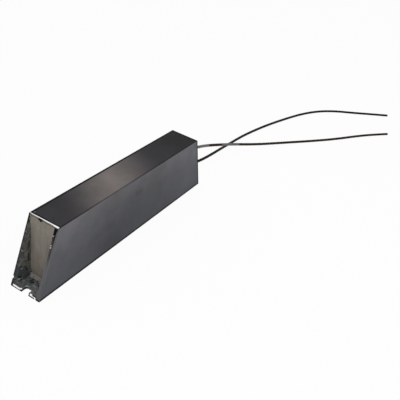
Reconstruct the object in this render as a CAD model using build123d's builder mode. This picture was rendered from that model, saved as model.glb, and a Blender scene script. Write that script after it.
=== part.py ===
from build123d import *
import math
import os

# Wire-wound shunt resistor in an extruded aluminium housing, with two free leads.
# Millimetres. +X runs along the body to the end that the leads leave, +Z is up,
# and the origin is the middle of the footprint, on the surface that the part stands on.

# Housing
body_length = 236.0
body_width = 30.0
body_height = 60.0
end_inset = 20.0
side_wall = 2.5
top_wall = 1.3
floor_wall = 2.8
rail_width = 2.5
rail_rise = 5.2
edge_radius = 0.6

# Screw slots, open at both ends of the floor
slot_width = 7.0
slot_depth = 5.6
slot_corner_radius = 2.0

# Small nick in the left wall's front edge
nick_height = 7.0
nick_depth = 1.1
nick_rise = 2.8

# End plugs
plug_face_inset = 17.0
plug_thickness = 4.0
plug_shoulder_drop = 7.0
plug_shoulder_depth = 2.1
plug_top_gap = 0.5
plug_clearance = 0.2
front_plug_right_gap = 2.1
chip_width = 5.0
chip_height = 1.9
chip_offset = 3.4
chip_point_offset = 2.8
bead_reach = 3.0
bead_rise = 2.6
bead_radius = 4.0

# Ceramic tubes
tube_radius = 7.0
tube_bore_radius = 3.0
tube_end_space = 12.0
cement_under_tube = 7.1
cement_between_bands = 4.6

# Resistance ribbon
ribbon_width = 3.0
ribbon_thickness = 0.5
ribbon_pitch = 6.0
ribbon_fit = 0.02
ribbon_end_gap = 0.3

# Terminal bands
band_width = 8.0
band_thickness = 0.55
band_fit = 0.05
band_inset = 1.0
tab_width = 5.0
tab_reach = 3.0
link_tab_length = 6.0
link_foot_length = 4.8
link_thickness = 0.6

# Crimp sleeves and leads
crimp_radius = 1.5
crimp_length = 7.0
conductor_radius = 0.8
crimp_fit = 0.05
crimp_stop = 0.5
tail_bare_length = 0.6
lead_radius = 1.5
lead_exit_run = 21.0
lead_hole_fit = 0.15
lead_rest_clearance = 0.05
lead_bend_share = 0.45

# Insulation and cavities in the cement
mica_thickness = 1.2
mica_top_gap = 6.2
cavity_fit = 0.3
channel_fit = 0.2

# Derived places
half_length = body_length / 2
half_width = body_width / 2
half_cavity = half_width - side_wall
ceiling = body_height - top_wall
cavity_height = ceiling - floor_wall
half_floor = half_cavity - rail_width
rail_top = floor_wall + rail_rise
mica_top = ceiling - mica_top_gap
mica_rise = mica_top - rail_top
plug_outer_x = half_length - plug_face_inset
plug_inner_x = plug_outer_x - plug_thickness
plug_top = ceiling - plug_top_gap
tube_end_x = plug_inner_x - tube_end_space
band_radius = tube_radius + band_fit + band_thickness
winding_radius = tube_radius + ribbon_fit + ribbon_thickness
lower_axis_z = floor_wall + cement_under_tube + band_radius
upper_axis_z = lower_axis_z + 2 * band_radius + cement_between_bands
tab_end_x = tube_end_x + tab_reach
crimp_end_x = tab_end_x + crimp_length
lead_start_x = crimp_end_x + tail_bare_length
cavity_radius = max(math.hypot(band_radius, tab_width / 2), winding_radius) + cavity_fit
cavity_end_x = tab_end_x + channel_fit

os.makedirs("parts", exist_ok=True)


def save(piece, name):
    piece.label = name
    export_step(piece, f"parts/{name}.step")


# What the slanted saw cuts at both ends take off
with BuildPart() as sawn_off:
    with BuildSketch(Plane.XZ) as end_cuts:
        for side in (-1, 1):
            with BuildLine():
                Polyline(
                    (side * half_length, 0),
                    (side * (half_length - end_inset), body_height),
                    (side * half_length, body_height),
                    close=True,
                )
            make_face()
    extrude(amount=body_width, both=True)

# Housing: one extrusion, sawn at both ends, with a slot milled into each end of the floor
with BuildPart() as housing:
    with BuildSketch(Plane.YZ.offset(-half_length)) as section:
        with Locations((0, body_height / 2)):
            outline = Rectangle(body_width, body_height)
        fillet(outline.vertices(), edge_radius)
        with Locations((0, floor_wall + cavity_height / 2)):
            Rectangle(2 * half_cavity, cavity_height, mode=Mode.SUBTRACT)
        rail_y = half_floor + rail_width / 2
        with Locations((-rail_y, floor_wall + rail_rise / 2), (rail_y, floor_wall + rail_rise / 2)):
            Rectangle(rail_width, rail_rise)
    extrude(amount=body_length)
    add(sawn_off.part, mode=Mode.SUBTRACT)
    with BuildSketch(Plane.XY) as slots:
        with Locations((-half_length, 0), (half_length, 0)):
            Rectangle(2 * slot_depth, slot_width)
        fillet(slots.vertices(), slot_corner_radius)
    extrude(amount=floor_wall, mode=Mode.SUBTRACT)
    nick_front_x = -half_length + end_inset * nick_height / body_height
    with BuildSketch(Plane.XZ.offset(-half_cavity)) as nick:
        with Locations((nick_front_x, nick_height)):
            Ellipse(nick_depth, nick_rise / 2)
    extrude(amount=-side_wall, mode=Mode.SUBTRACT)
save(housing.part, "housing")


# Outlines of what lines the cavity's long walls: a rail at the foot and a mica sheet that stands on it
def lining_outlines(clearance, mode):
    rail_space = (rail_width + clearance, rail_rise + clearance)
    mica_space = (mica_thickness + clearance, mica_rise + clearance)
    for side in (-1, 1):
        with Locations((side * (half_cavity - rail_space[0] / 2), floor_wall + rail_space[1] / 2)):
            Rectangle(*rail_space, mode=mode)
        with Locations((side * (half_cavity - mica_space[0] / 2), rail_top + mica_space[1] / 2)):
            Rectangle(*mica_space, mode=mode)


# End plugs: blocks with an upright face whose top edge slopes back with the saw cut.
# They stand on the floor between the rails and the mica sheets.
def plug_blank(side, gap_right, gap_left):
    outline = [
        (side * plug_outer_x, floor_wall),
        (side * plug_outer_x, plug_top - plug_shoulder_drop),
        (side * (plug_outer_x - plug_shoulder_depth), plug_top),
        (side * plug_inner_x, plug_top),
        (side * plug_inner_x, floor_wall),
    ]
    width = 2 * half_cavity - gap_right - gap_left
    right_face = -half_cavity + gap_right
    with BuildPart() as blank:
        with BuildSketch(Plane.XZ.offset(-right_face)) as face:
            with BuildLine():
                Polyline(*outline, close=True)
            make_face()
        extrude(amount=-width)
        with BuildSketch(Plane.YZ.offset(side * plug_inner_x)) as lining_spaces:
            lining_outlines(plug_clearance, Mode.ADD)
        extrude(amount=side * plug_thickness, mode=Mode.SUBTRACT)
    return blank.part


with BuildPart() as front_plug:
    add(plug_blank(-1, front_plug_right_gap, plug_clearance))
    with BuildSketch(Plane.YZ.offset(-plug_outer_x)) as chip:
        with BuildLine():
            Polyline(
                (chip_offset - chip_width / 2, plug_top),
                (chip_point_offset, plug_top - chip_height),
                (chip_offset + chip_width / 2, plug_top),
                close=True,
            )
        make_face()
    extrude(amount=plug_thickness, mode=Mode.SUBTRACT)
save(front_plug.part, "front_plug")

with BuildPart() as rear_plug:
    add(plug_blank(1, plug_clearance, plug_clearance))
    with BuildSketch(Plane.YZ.offset(plug_inner_x)) as lead_holes:
        with Locations((0, lower_axis_z), (0, upper_axis_z)):
            Circle(lead_radius + lead_hole_fit)
    extrude(amount=plug_thickness, mode=Mode.SUBTRACT)
save(rear_plug.part, "rear_plug")

# Cement squeezed out along the foot of the front plug
with BuildPart() as front_cement_bead:
    with BuildSketch(Plane.XZ.offset(half_floor - plug_clearance)) as bead_section:
        with BuildLine():
            foot = (-plug_outer_x - bead_reach, floor_wall)
            corner = (-plug_outer_x, floor_wall)
            head = (-plug_outer_x, floor_wall + bead_rise)
            Polyline(foot, corner, head)
            RadiusArc(foot, head, -bead_radius)
        make_face()
    extrude(amount=-2 * (half_floor - plug_clearance))
save(front_cement_bead.part, "front_cement_bead")

# Cement filling, with a chamber for each wound tube and a channel for each crimp and lead
with BuildPart() as cement_fill:
    with BuildSketch(Plane.YZ.offset(-plug_inner_x)) as fill_section:
        with Locations((0, floor_wall + cavity_height / 2)):
            Rectangle(2 * half_cavity, cavity_height)
        lining_outlines(0, Mode.SUBTRACT)
    extrude(amount=2 * plug_inner_x)
    with BuildSketch(Plane.YZ.offset(-cavity_end_x)) as chambers:
        with Locations((0, lower_axis_z), (0, upper_axis_z)):
            Circle(cavity_radius)
    extrude(amount=2 * cavity_end_x, mode=Mode.SUBTRACT)
    with BuildSketch(Plane.YZ.offset(cavity_end_x)) as crimp_spaces:
        with Locations((0, lower_axis_z), (0, upper_axis_z)):
            Circle(crimp_radius + channel_fit)
    extrude(amount=plug_inner_x - cavity_end_x, mode=Mode.SUBTRACT)
    link_space_length = link_tab_length + 2 * channel_fit
    link_space_x = -tube_end_x - link_tab_length / 2
    with BuildSketch(Plane.XY.offset(lower_axis_z)) as link_space:
        with Locations((link_space_x, 0)):
            Rectangle(link_space_length, tab_width + 2 * channel_fit)
    extrude(amount=upper_axis_z - lower_axis_z, mode=Mode.SUBTRACT)
save(cement_fill.part, "cement_fill")


# Ceramic tube that carries a winding
def wound_tube(axis_z):
    with BuildPart() as tube:
        with BuildSketch(Plane.YZ.offset(-tube_end_x)) as ring:
            with Locations((0, axis_z)):
                Circle(tube_radius)
                Circle(tube_bore_radius, mode=Mode.SUBTRACT)
        extrude(amount=2 * tube_end_x)
    return tube.part


# Resistance ribbon, wound flat on the tube between the two terminal bands
def wound_ribbon(axis_z):
    middle_radius = tube_radius + ribbon_fit + ribbon_thickness / 2
    slant = math.atan(ribbon_pitch / (2 * math.pi * middle_radius))
    half_ribbon = ribbon_width / (2 * math.cos(slant))
    band_inner_x = tube_end_x - band_inset - band_width
    start_x = -band_inner_x + ribbon_end_gap + half_ribbon
    with BuildPart() as ribbon:
        with BuildLine() as turns:
            Helix(
                pitch=ribbon_pitch,
                height=-2 * start_x,
                radius=middle_radius,
                center=(start_x, 0, axis_z),
                direction=(1, 0, 0),
            )
        start_plane = Plane(
            origin=turns.line @ 0,
            x_dir=((turns.line @ 0) - Vector(start_x, 0, axis_z)),
            z_dir=turns.line % 0,
        )
        with BuildSketch(start_plane) as strip:
            Rectangle(ribbon_thickness, ribbon_width)
        sweep(is_frenet=True)
    return ribbon.part


# Terminal band: a ring round the tube with one flat tab, drawn as an outline along the body
def ring_on_tube(axis_z, start_x, tab):
    with BuildPart() as band:
        with BuildSketch(Plane.YZ.offset(start_x)) as ring:
            with Locations((0, axis_z)):
                Circle(band_radius)
                Circle(tube_radius + band_fit, mode=Mode.SUBTRACT)
        extrude(amount=band_width)
        with BuildSketch(Plane.XZ) as strip:
            with BuildLine():
                Polyline(*tab, close=True)
            make_face()
        extrude(amount=tab_width / 2, both=True)
    return band.part


# The rear tab folds in to the tube's axis, where the crimp sleeve meets it
def rear_band(axis_z):
    ring_x = tube_end_x - band_inset - band_width
    tab_start_x = ring_x + band_width / 2
    outer_z = axis_z + band_radius
    inner_z = outer_z - band_thickness
    tip_z = axis_z - crimp_radius
    tab = [
        (tab_start_x, outer_z),
        (tab_end_x, outer_z),
        (tab_end_x, tip_z),
        (tab_end_x - band_thickness, tip_z),
        (tab_end_x - band_thickness, inner_z),
        (tab_start_x, inner_z),
    ]
    return ring_on_tube(axis_z, ring_x, tab)


# The front tab runs straight out, on the side that faces the other tube
def front_band(axis_z, facing):
    ring_x = -tube_end_x + band_inset
    tab_start_x = ring_x + band_width / 2
    tip_x = -tube_end_x - link_tab_length
    outer_z = axis_z + facing * band_radius
    inner_z = outer_z - facing * band_thickness
    tab = [(tab_start_x, outer_z), (tip_x, outer_z), (tip_x, inner_z), (tab_start_x, inner_z)]
    return ring_on_tube(axis_z, ring_x, tab)


# Sleeve that joins a rear band to the stripped end of a lead
def crimp_sleeve(axis_z):
    with BuildPart() as sleeve:
        with BuildSketch(Plane.YZ.offset(tab_end_x)) as ring:
            with Locations((0, axis_z)):
                Circle(crimp_radius)
                Circle(conductor_radius + crimp_fit, mode=Mode.SUBTRACT)
        extrude(amount=crimp_length)
    return sleeve.part


def stripped_tail(axis_z):
    start_x = tab_end_x + crimp_stop
    with BuildPart() as tail:
        with BuildSketch(Plane.YZ.offset(start_x)) as end_face:
            with Locations((0, axis_z)):
                Circle(conductor_radius)
        extrude(amount=lead_start_x - start_x)
    return tail.part


# Free leads. Each leaves straight through its hole in the rear plug, droops and lies down.
lying_z = lead_radius + lead_rest_clearance


# Each corner of a route is rounded as far as its two runs allow
def bend_radii(route):
    runs = [Vector(*b) - Vector(*a) for a, b in zip(route, route[1:])]
    radii = []
    for before, after in zip(runs, runs[1:]):
        turn = math.radians(before.get_angle(after))
        shorter = min(before.length, after.length)
        radii.append(lead_bend_share * shorter / math.tan(turn / 2))
    return radii


# The free points are given from the rear end of the body: x beyond it, y and z as they are
def lead_route(axis_z, free_points):
    exit_points = [(lead_start_x, 0, axis_z), (lead_start_x + lead_exit_run, 0, axis_z)]
    return exit_points + [(half_length + x, y, z) for x, y, z in free_points]


def free_lead(route, name):
    radii = bend_radii(route)
    with BuildPart() as lead:
        with BuildLine() as path:
            FilletPolyline(*route, radius=radii)
        with BuildSketch(Plane(origin=path.wire() @ 0, z_dir=path.wire() % 0)) as section:
            Circle(lead_radius)
        sweep()
    length = path.wire().length
    straight_volume = math.pi * lead_radius**2 * length
    print(name, "length", round(length, 1), "bend radii", [round(r) for r in radii])
    print(name, "volume over section times length", round(lead.part.volume / straight_volume, 4))
    return lead.part


upper_free_points = [
    (19.0, -3.6, 34.6),
    (42.0, -10.4, 29.9),
    (69.0, -15.6, 22.4),
    (97.2, -21.2, 13.8),
    (125.0, -28.2, 6.6),
    (148.0, -36.6, 2.5),
    (168.0, -49.2, lying_z),
    (194.2, -68.4, lying_z),
    (226.0, -90.2, lying_z),
    (263.2, -111.6, lying_z),
    (286.4, -127.4, lying_z),
    (302.8, -140.0, lying_z),
]
lower_free_points = [
    (22.0, -3.6, 16.3),
    (48.0, -2.8, 13.2),
    (76.6, -0.8, 9.3),
    (102.0, 0.6, 5.7),
    (127.0, 1.8, 2.7),
    (154.0, -0.4, 1.7),
    (189.5, -6.5, lying_z),
    (232.3, -17.1, lying_z),
    (265.4, -27.2, lying_z),
    (293.8, -40.8, lying_z),
    (315.5, -59.0, lying_z),
    (331.0, -78.8, lying_z),
    (351.5, -102.2, lying_z),
    (368.1, -121.8, lying_z),
]

levels = {"upper": upper_axis_z, "lower": lower_axis_z}
facings = {"upper": -1, "lower": 1}
free_points = {"upper": upper_free_points, "lower": lower_free_points}
for level, axis_z in levels.items():
    save(wound_tube(axis_z), f"{level}_former")
    save(wound_ribbon(axis_z), f"{level}_winding")
    save(front_band(axis_z, facings[level]), f"{level}_front_band")
    save(rear_band(axis_z), f"{level}_rear_band")
    save(crimp_sleeve(axis_z), f"{level}_crimp")
    save(stripped_tail(axis_z), f"{level}_lead_tail")
    save(free_lead(lead_route(axis_z, free_points[level]), level), f"{level}_lead")

# Strip folded like a C between the two front tabs
with BuildPart() as series_link:
    link_outer_x = -tube_end_x - link_tab_length
    link_foot_x = link_outer_x + link_foot_length
    low_z = lower_axis_z + band_radius
    high_z = upper_axis_z - band_radius
    with BuildSketch(Plane.XZ) as link_outline:
        with BuildLine():
            Polyline(
                (link_foot_x, low_z),
                (link_outer_x, low_z),
                (link_outer_x, high_z),
                (link_foot_x, high_z),
                (link_foot_x, high_z - link_thickness),
                (link_outer_x + link_thickness, high_z - link_thickness),
                (link_outer_x + link_thickness, low_z + link_thickness),
                (link_foot_x, low_z + link_thickness),
                close=True,
            )
        make_face()
    extrude(amount=tab_width / 2, both=True)
save(series_link.part, "series_link")


# Mica sheet along a long wall, standing on the rail and sawn off with the housing
def mica_sheet(side):
    with BuildPart() as sheet:
        with BuildSketch(Plane.XZ.offset(-side * half_cavity)) as face:
            with Locations((0, rail_top + mica_rise / 2)):
                Rectangle(body_length, mica_rise)
        extrude(amount=side * mica_thickness)
        add(sawn_off.part, mode=Mode.SUBTRACT)
    return sheet.part


save(mica_sheet(1), "left_mica_sheet")
save(mica_sheet(-1), "right_mica_sheet")
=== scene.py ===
"""Looks of a wire-wound shunt resistor, built around its packed frame."""

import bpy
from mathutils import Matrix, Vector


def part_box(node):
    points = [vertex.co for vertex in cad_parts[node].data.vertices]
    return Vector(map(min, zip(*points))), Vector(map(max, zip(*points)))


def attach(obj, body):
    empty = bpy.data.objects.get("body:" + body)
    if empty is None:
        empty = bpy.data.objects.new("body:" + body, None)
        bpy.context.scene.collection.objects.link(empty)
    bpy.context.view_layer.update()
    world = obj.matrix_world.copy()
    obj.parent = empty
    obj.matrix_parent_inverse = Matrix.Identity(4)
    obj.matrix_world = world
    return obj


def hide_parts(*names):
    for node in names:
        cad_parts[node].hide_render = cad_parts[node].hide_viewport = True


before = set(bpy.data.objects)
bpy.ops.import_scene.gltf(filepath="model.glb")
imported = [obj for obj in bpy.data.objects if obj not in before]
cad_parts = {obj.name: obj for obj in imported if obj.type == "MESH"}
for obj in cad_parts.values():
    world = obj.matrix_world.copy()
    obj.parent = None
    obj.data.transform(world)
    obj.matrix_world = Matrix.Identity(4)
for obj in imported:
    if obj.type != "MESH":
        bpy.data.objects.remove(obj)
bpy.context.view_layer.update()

import math
import random

import bmesh
import bpy
from bpy.props import FloatProperty, FloatVectorProperty, IntProperty, PointerProperty
from mathutils import Matrix, Vector, noise

bl_info = {
    "name": "Shunt Resistor Looks",
    "version": (1, 0, 0),
    "blender": (4, 5, 0),
    "location": "View3D > Sidebar > Shunt Resistor",
    "description": "Leads, plugs, cement and finishes of a slant-ended wire-wound resistor",
    "category": "Object",
}

BODY = "root"
MM = 0.001
TINY = 1e-5

# Places read from the frame, in metres
HALF_LENGTH, HALF_WIDTH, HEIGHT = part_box("housing")[1]
PLUG_LOW, PLUG_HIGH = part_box("front_plug")
REAR_PLUG_LOW, REAR_PLUG_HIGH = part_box("rear_plug")
BEAD_LOW, BEAD_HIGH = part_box("front_cement_bead")
SHEET_BOXES = [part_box("left_mica_sheet"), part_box("right_mica_sheet")]

# Sizes of the housing that its look needs, in millimetres; its top edge is rounded from TOP_EDGE up
LENGTH_MM, WIDTH_MM, TOP_MM = HALF_LENGTH / MM, HALF_WIDTH / MM, HEIGHT / MM
TOP_EDGE = TOP_MM - 0.3
END_INSET = 20.0
SIDE_WALL = 2.5
TOP_WALL = 1.3
FLOOR_WALL = 2.8

# In metres: how far cutters reach past what they cut, the notches in a plug's foot, the gap round a
# sheet, what widens the front plug on the right, and the gap round a lead in its hole
OVERLAP = 0.003
NOTCH_SINK = 0.002
RAIL_NOTCH = Vector((0.01, 0.0027, 0.0054))
SHEET_GAP = Vector((0, 0.0002, 0.0002))
FRONT_EXTRA = Vector((0, 0.0006, 0))
LEAD_CLEARANCE = 0.00015
TURNED_ALONG_X = (0, math.pi / 2, 0)

# Length and width of the cement film on each end's floor, and the parts of that floor that stay
# free: beside and behind the slot's edge, and at the very end
FILM_LENGTH, FILM_WIDTH = 0.0150, 0.0196
SLOT_FREE_LENGTH, SLOT_FREE_WIDTH = 0.0062, 0.0039
END_FREE = 0.0012

# Places of the crumbs, in millimetres
CRUMB_PLACES = [(-100.7, -11.5, 52.5), (-103.2, -11.7, 45.1), (-103.7, -12.0, 43.5)]

# Routes of the leads, in metres, as the points that each smooth line follows
UPPER_ROUTE = [
    (0.0956, 0.0, 0.0373), (0.1166, 0.0, 0.0373), (0.1370, -0.0036, 0.0346),
    (0.1600, -0.0104, 0.0299), (0.1870, -0.0156, 0.0224), (0.2152, -0.0212, 0.0138),
    (0.2430, -0.0282, 0.0066), (0.2660, -0.0366, 0.0025), (0.2860, -0.0492, 0.00155),
    (0.3122, -0.0684, 0.00155), (0.3440, -0.0902, 0.00155), (0.3812, -0.1116, 0.00155),
    (0.4044, -0.1274, 0.00155), (0.4208, -0.1400, 0.00155),
]
LOWER_ROUTE = [
    (0.0956, 0.0, 0.0175), (0.1166, 0.0, 0.0175), (0.1400, -0.0036, 0.0163),
    (0.1660, -0.0028, 0.0132), (0.1946, -0.0008, 0.0093), (0.2200, 0.0006, 0.0057),
    (0.2450, 0.0018, 0.0027), (0.2720, -0.0004, 0.0017), (0.3075, -0.0065, 0.00155),
    (0.3503, -0.0171, 0.00155), (0.3834, -0.0272, 0.00155), (0.4118, -0.0408, 0.00155),
    (0.4335, -0.0590, 0.00155), (0.4490, -0.0788, 0.00155), (0.4695, -0.1022, 0.00155),
    (0.4861, -0.1218, 0.00155),
]

# Size of the stains' clouds and grains and the share of the grains, and the waves of drawn marks
STAINS = (0.25, 0.9, 0.45)
WAVES = 1.1

# Along X, in millimetres: the dust on the upper lead ends, begins again and ends
DUST_ENDS = (143.5, 165.0, 197.0)

# Colours of the right wall's sawn edge, by height in millimetres
SAWN_DARKS = (
    (28.0, (0.110, 0.108, 0.114)),
    (33.0, (0.080, 0.078, 0.080)),
    (37.0, (0.048, 0.045, 0.046)),
    (43.0, (0.046, 0.043, 0.044)),
    (46.0, (0.042, 0.034, 0.043)),
    (51.0, (0.014, 0.009, 0.013)),
    (57.0, (0.004, 0.004, 0.004)),
)
SAWN_STRIPE = (0.098, 0.097, 0.106)
BLACK = (0.008, 0.008, 0.008)
WHITE = (0.93, 0.93, 0.94)
NEAR_BLACK = (0.012, 0.012, 0.013)

# Marks that are drawn on the surfaces: both ends in millimetres, half width, softness, colour
# Lighter and darker patches on the near long wall, multiplied into its colour
SIDE_TONE_PATCHES = (
    ((0, -15, 44), (6, -15, 44), 2.5, 4, (0.74, 0.74, 0.76)),
    ((28, -15, 40), (34, -15, 40), 3, 5, (1, 0.94, 0.88)),
    ((72, -15, 53), (79, -15, 53), 2, 4, (1.1, 1.1, 1.12)),
    ((92, -15, 60), (108, -15, 44), 2, 5, (0.72, 0.72, 0.74)),
    ((84, -15, 6), (112, -15, 4), 2, 6, (0.88, 0.88, 0.88)),
    ((-60, -15, 25), (-35, -15, 29), 2, 5, (0.88, 0.88, 0.88)),
    ((-10, -15, 56), (2, -15, 57), 2, 4, (1.04, 1.08, 1.16)),
)
TOP_MARKS = (
    ((-92.5, -2.5, 60), (-90.5, -3.2, 60), 0.3, 0.2, (0.012, 0.012, 0.013)),
    ((-94.2, -4.6, 60), (-92.6, -5, 60), 0.3, 0.2, (0.012, 0.012, 0.013)),
    ((-96.2, 12.4, 60), (-94.8, 12, 60), 0.35, 0.2, (0.2, 0.2, 0.205)),
)
FLOOR_MARKS = (
    ((-107.3, 4.8, 2.8), (-103.4, 4.2, 2.8), 0.9, 0.5, (0.02, 0.02, 0.017)),
    ((-107.9, 2.9, 2.8), (-107.3, 2.1, 2.8), 0.95, 0.3, BLACK),
    ((-108, 5.8, 2.8), (-107.4, 5, 2.8), 0.5, 0.3, (0.03, 0.034, 0.036)),
    ((-104.2, 0.5, 2.8), (-103.8, 0.3, 2.8), 0.55, 0.3, (0.025, 0.025, 0.02)),
    ((-104.9, -0.6, 2.8), (-108, -4.6, 2.8), 0.45, 0.3, (0.035, 0.033, 0.033)),
    ((-109.4, -0.9, 2.8), (-110.2, -3.2, 2.8), 0.55, 0.35, (0.26, 0.265, 0.26)),
    ((-113.9, 3, 2.8), (-113.7, 1.4, 2.8), 0.35, 0.2, (0.23, 0.25, 0.25)),
    ((-114.6, 3.9, 2.8), (-114.2, 3.6, 2.8), 0.45, 0.2, BLACK),
)
RAIL_MARKS = (
    ((-115.3, 10.2, 6.9), (-113, 10, 5.9), 0.6, 0.35, (0.3, 0.32, 0.32)),
    ((-113, 10, 5.9), (-110, 10, 3.9), 0.45, 0.35, (0.17, 0.19, 0.185)),
    ((-116.2, 10, 4.4), (-114, 10, 3.2), 0.55, 0.35, (0.24, 0.25, 0.245)),
    ((-113.9, 10.9, 8), (-112.2, 10, 7.3), 0.8, 0.3, BLACK),
    ((-111.9, 10, 4.7), (-111.4, 10, 4.1), 0.65, 0.3, BLACK),
    ((-114.8, 10, 5.2), (-114, 10, 4.7), 0.4, 0.3, BLACK),
    ((-101.6, 10, 7.5), (-101.6, 10, 3), 1.9, 1, (0.115, 0.106, 0.096)),
    ((-104.5, 9.5, 5.5), (-103, 9.5, 3), 1, 0.8, (0.05, 0.05, 0.045)),
)
SHEET_MARKS = (
    ((-112, 11.3, 17), (-109.6, 11.3, 15.5), 0.5, 0.4, (0.026, 0.027, 0.028)),
    ((-107.3, 11.3, 14.6), (-105.2, 11.3, 11.6), 0.55, 0.4, (0.024, 0.025, 0.025)),
    ((-105.2, 11.3, 11.6), (-103.2, 11.3, 7), 0.5, 0.4, (0.022, 0.023, 0.022)),
    ((-110.6, 11.3, 13.3), (-108.7, 11.3, 13.1), 1.35, 0.5, (0.036, 0.038, 0.04)),
    ((-110.3, 11.3, 13.7), (-109.1, 11.3, 13.3), 0.6, 0.4, (0.25, 0.262, 0.28)),
    ((-108.4, 11.3, 28.2), (-107.3, 11.3, 27.7), 0.8, 0.5, (0.028, 0.029, 0.025)),
    ((-106.3, 11.3, 26.5), (-105, 11.3, 24), 1.1, 0.8, (0.14, 0.145, 0.127)),
    # Painted shade in the corner between the left sheet and the plug
    ((-102.2, 11.3, 36.5), (-102.1, 11.3, 30.5), 0.7, 0.5, (0.034, 0.03, 0.028)),
    ((-102.5, 11.3, 24.5), (-102.4, 11.3, 17.5), 0.75, 0.5, (0.016, 0.015, 0.008)),
    ((-101.6, 11.3, 15.5), (-101.6, 11.3, 8), 1.2, 0.8, (0.12, 0.11, 0.1)),
)
EDGE_MARKS = (
    ((-115.3, 13.4, 8.2), (-115.6, 13, 7.2), 0.5, 0.3, BLACK),
    ((-99.8, 12.7, 55.2), (-99, 12.6, 57.6), 0.55, 0.3, (0.215, 0.2, 0.17)),
    ((-98.6, 13.2, 58.1), (-98.5, 9.5, 58.4), 0.6, 0.3, (0.27, 0.25, 0.215)),
    ((-108.8, 12, 27.7), (-108.6, 11.3, 28.2), 0.9, 0.5, (0.028, 0.029, 0.025)),
    ((-108.1, 12.9, 29.8), (-108.1, 12.5, 29.8), 0.6, 0.5, (0.15, 0.15, 0.14)),
    ((-107.5, 13.9, 31.6), (-107.4, 11.4, 31.9), 0.45, 0.3, (0.03, 0.03, 0.029)),
    ((-103.3, 12.6, 44.2), (-103.5, 12, 43.4), 0.8, 0.5, (0.028, 0.029, 0.022)),
    ((-102.9, 13.8, 45.3), (-103.1, 13.1, 44.8), 0.5, 0.4, (0.145, 0.148, 0.135)),
)
# On the sawn feet: white strokes are bare metal painted as bright highlights, black ones are painted shade
# in the nick, the groove and along the floor
FOOT_MARKS = (
    ((-116.3, 13.6, 5.3), (-115.8, 11.5, 6.8), 0.35, 0.2, (0.015, 0.015, 0.015)),
    ((-117.1, 12.5, 2.8), (-117.1, 5, 2.8), 0.4, 0.2, (0.07, 0.07, 0.068)),
    ((-117.5, 12.4, 1.6), (-117.5, 6, 1.3), 0.72, 0.15, WHITE),
    ((-117.5, 6, 1.3), (-117.1, 4.1, 2.3), 0.6, 0.15, WHITE),
    ((-117.6, -5.2, 1.3), (-117.7, -10, 1.2), 0.55, 0.12, WHITE),
    ((-117.3, -5.3, 2.1), (-117.3, -6.1, 2.1), 0.85, 0.12, WHITE),
    ((-117.8, -9.4, 0.9), (-118, -10.4, 0.3), 0.45, 0.12, WHITE),
    ((-117.1, -7.2, 2.5), (-117.1, -9.6, 2.5), 0.45, 0.12, BLACK),
    ((-117.8, -5.6, 0.5), (-117.8, -8.6, 0.5), 0.55, 0.12, BLACK),
)
# Painted shade in the chip at the front plug's top edge: on the plug's broken walls, and on the sawn top
# edge above it
CHIP_WALL_SHADE = (
    ((-97.9, 5.6, 58.2), (-97.9, 3, 57.2), 0.75, 0.12, BLACK),
    ((-97.9, 1.2, 58.2), (-97.9, 3, 57.2), 0.75, 0.12, BLACK),
)
CHIP_SHADE_MARKS = (
    ((-98.2, 5.3, 59.4), (-98.6, 3.6, 58.3), 0.5, 0.2, BLACK),
    ((-98.2, 1.4, 59.4), (-98.6, 2.8, 58.3), 0.45, 0.2, BLACK),
    ((-98.3, 4.2, 59.2), (-98.3, 2.6, 59.2), 0.55, 0.2, BLACK),
)


def tint(name, description, default):
    """A colour that the user can change."""
    return FloatVectorProperty(
        name=name, description=description, default=default, subtype="COLOR", min=0, max=1
    )


def amount(name, description, default, **more):
    """A number that the user can change."""
    return FloatProperty(name=name, description=description, default=default, **more)


def measure(name, description, default, least=0.0):
    """A length that the user can change, kept in metres."""
    return amount(name, description, default, min=least, unit="LENGTH", precision=5)


class StageSettings(bpy.types.PropertyGroup):
    """Camera, floor and light"""

    camera_place: FloatVectorProperty(
        name="Camera Place",
        description="Where the camera stands",
        default=(-0.36041, -0.24551, 0.32621),
        subtype="XYZ",
        unit="LENGTH",
        precision=5,
    )
    heading: amount(
        "Heading",
        "Direction that the camera looks, turned from +Y towards +X",
        math.radians(64.804),
        subtype="ANGLE",
    )
    dip: amount("Dip", "How far the camera looks down", math.radians(33.093), subtype="ANGLE")
    roll: amount("Roll", "Turn of the camera about its line of sight", math.radians(10.861), subtype="ANGLE")
    lens: amount("Lens", "Focal length", 52.476, min=1, unit="CAMERA")
    floor_size: measure("Floor Size", "Side of the square floor", 6.0)
    floor_glow: amount(
        "Floor Glow", "How much of its own white the floor shows", 0.93, min=0, max=1, subtype="FACTOR"
    )
    fill_light: amount("Fill Light", "Strength of the surrounding light on dull surfaces", 0.62, min=0)
    key_power: amount("Key Power", "Power of the large lamp", 9.0, min=0, unit="POWER")
    key_size: measure("Key Size", "Diameter of the large lamp", 1.3)


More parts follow.
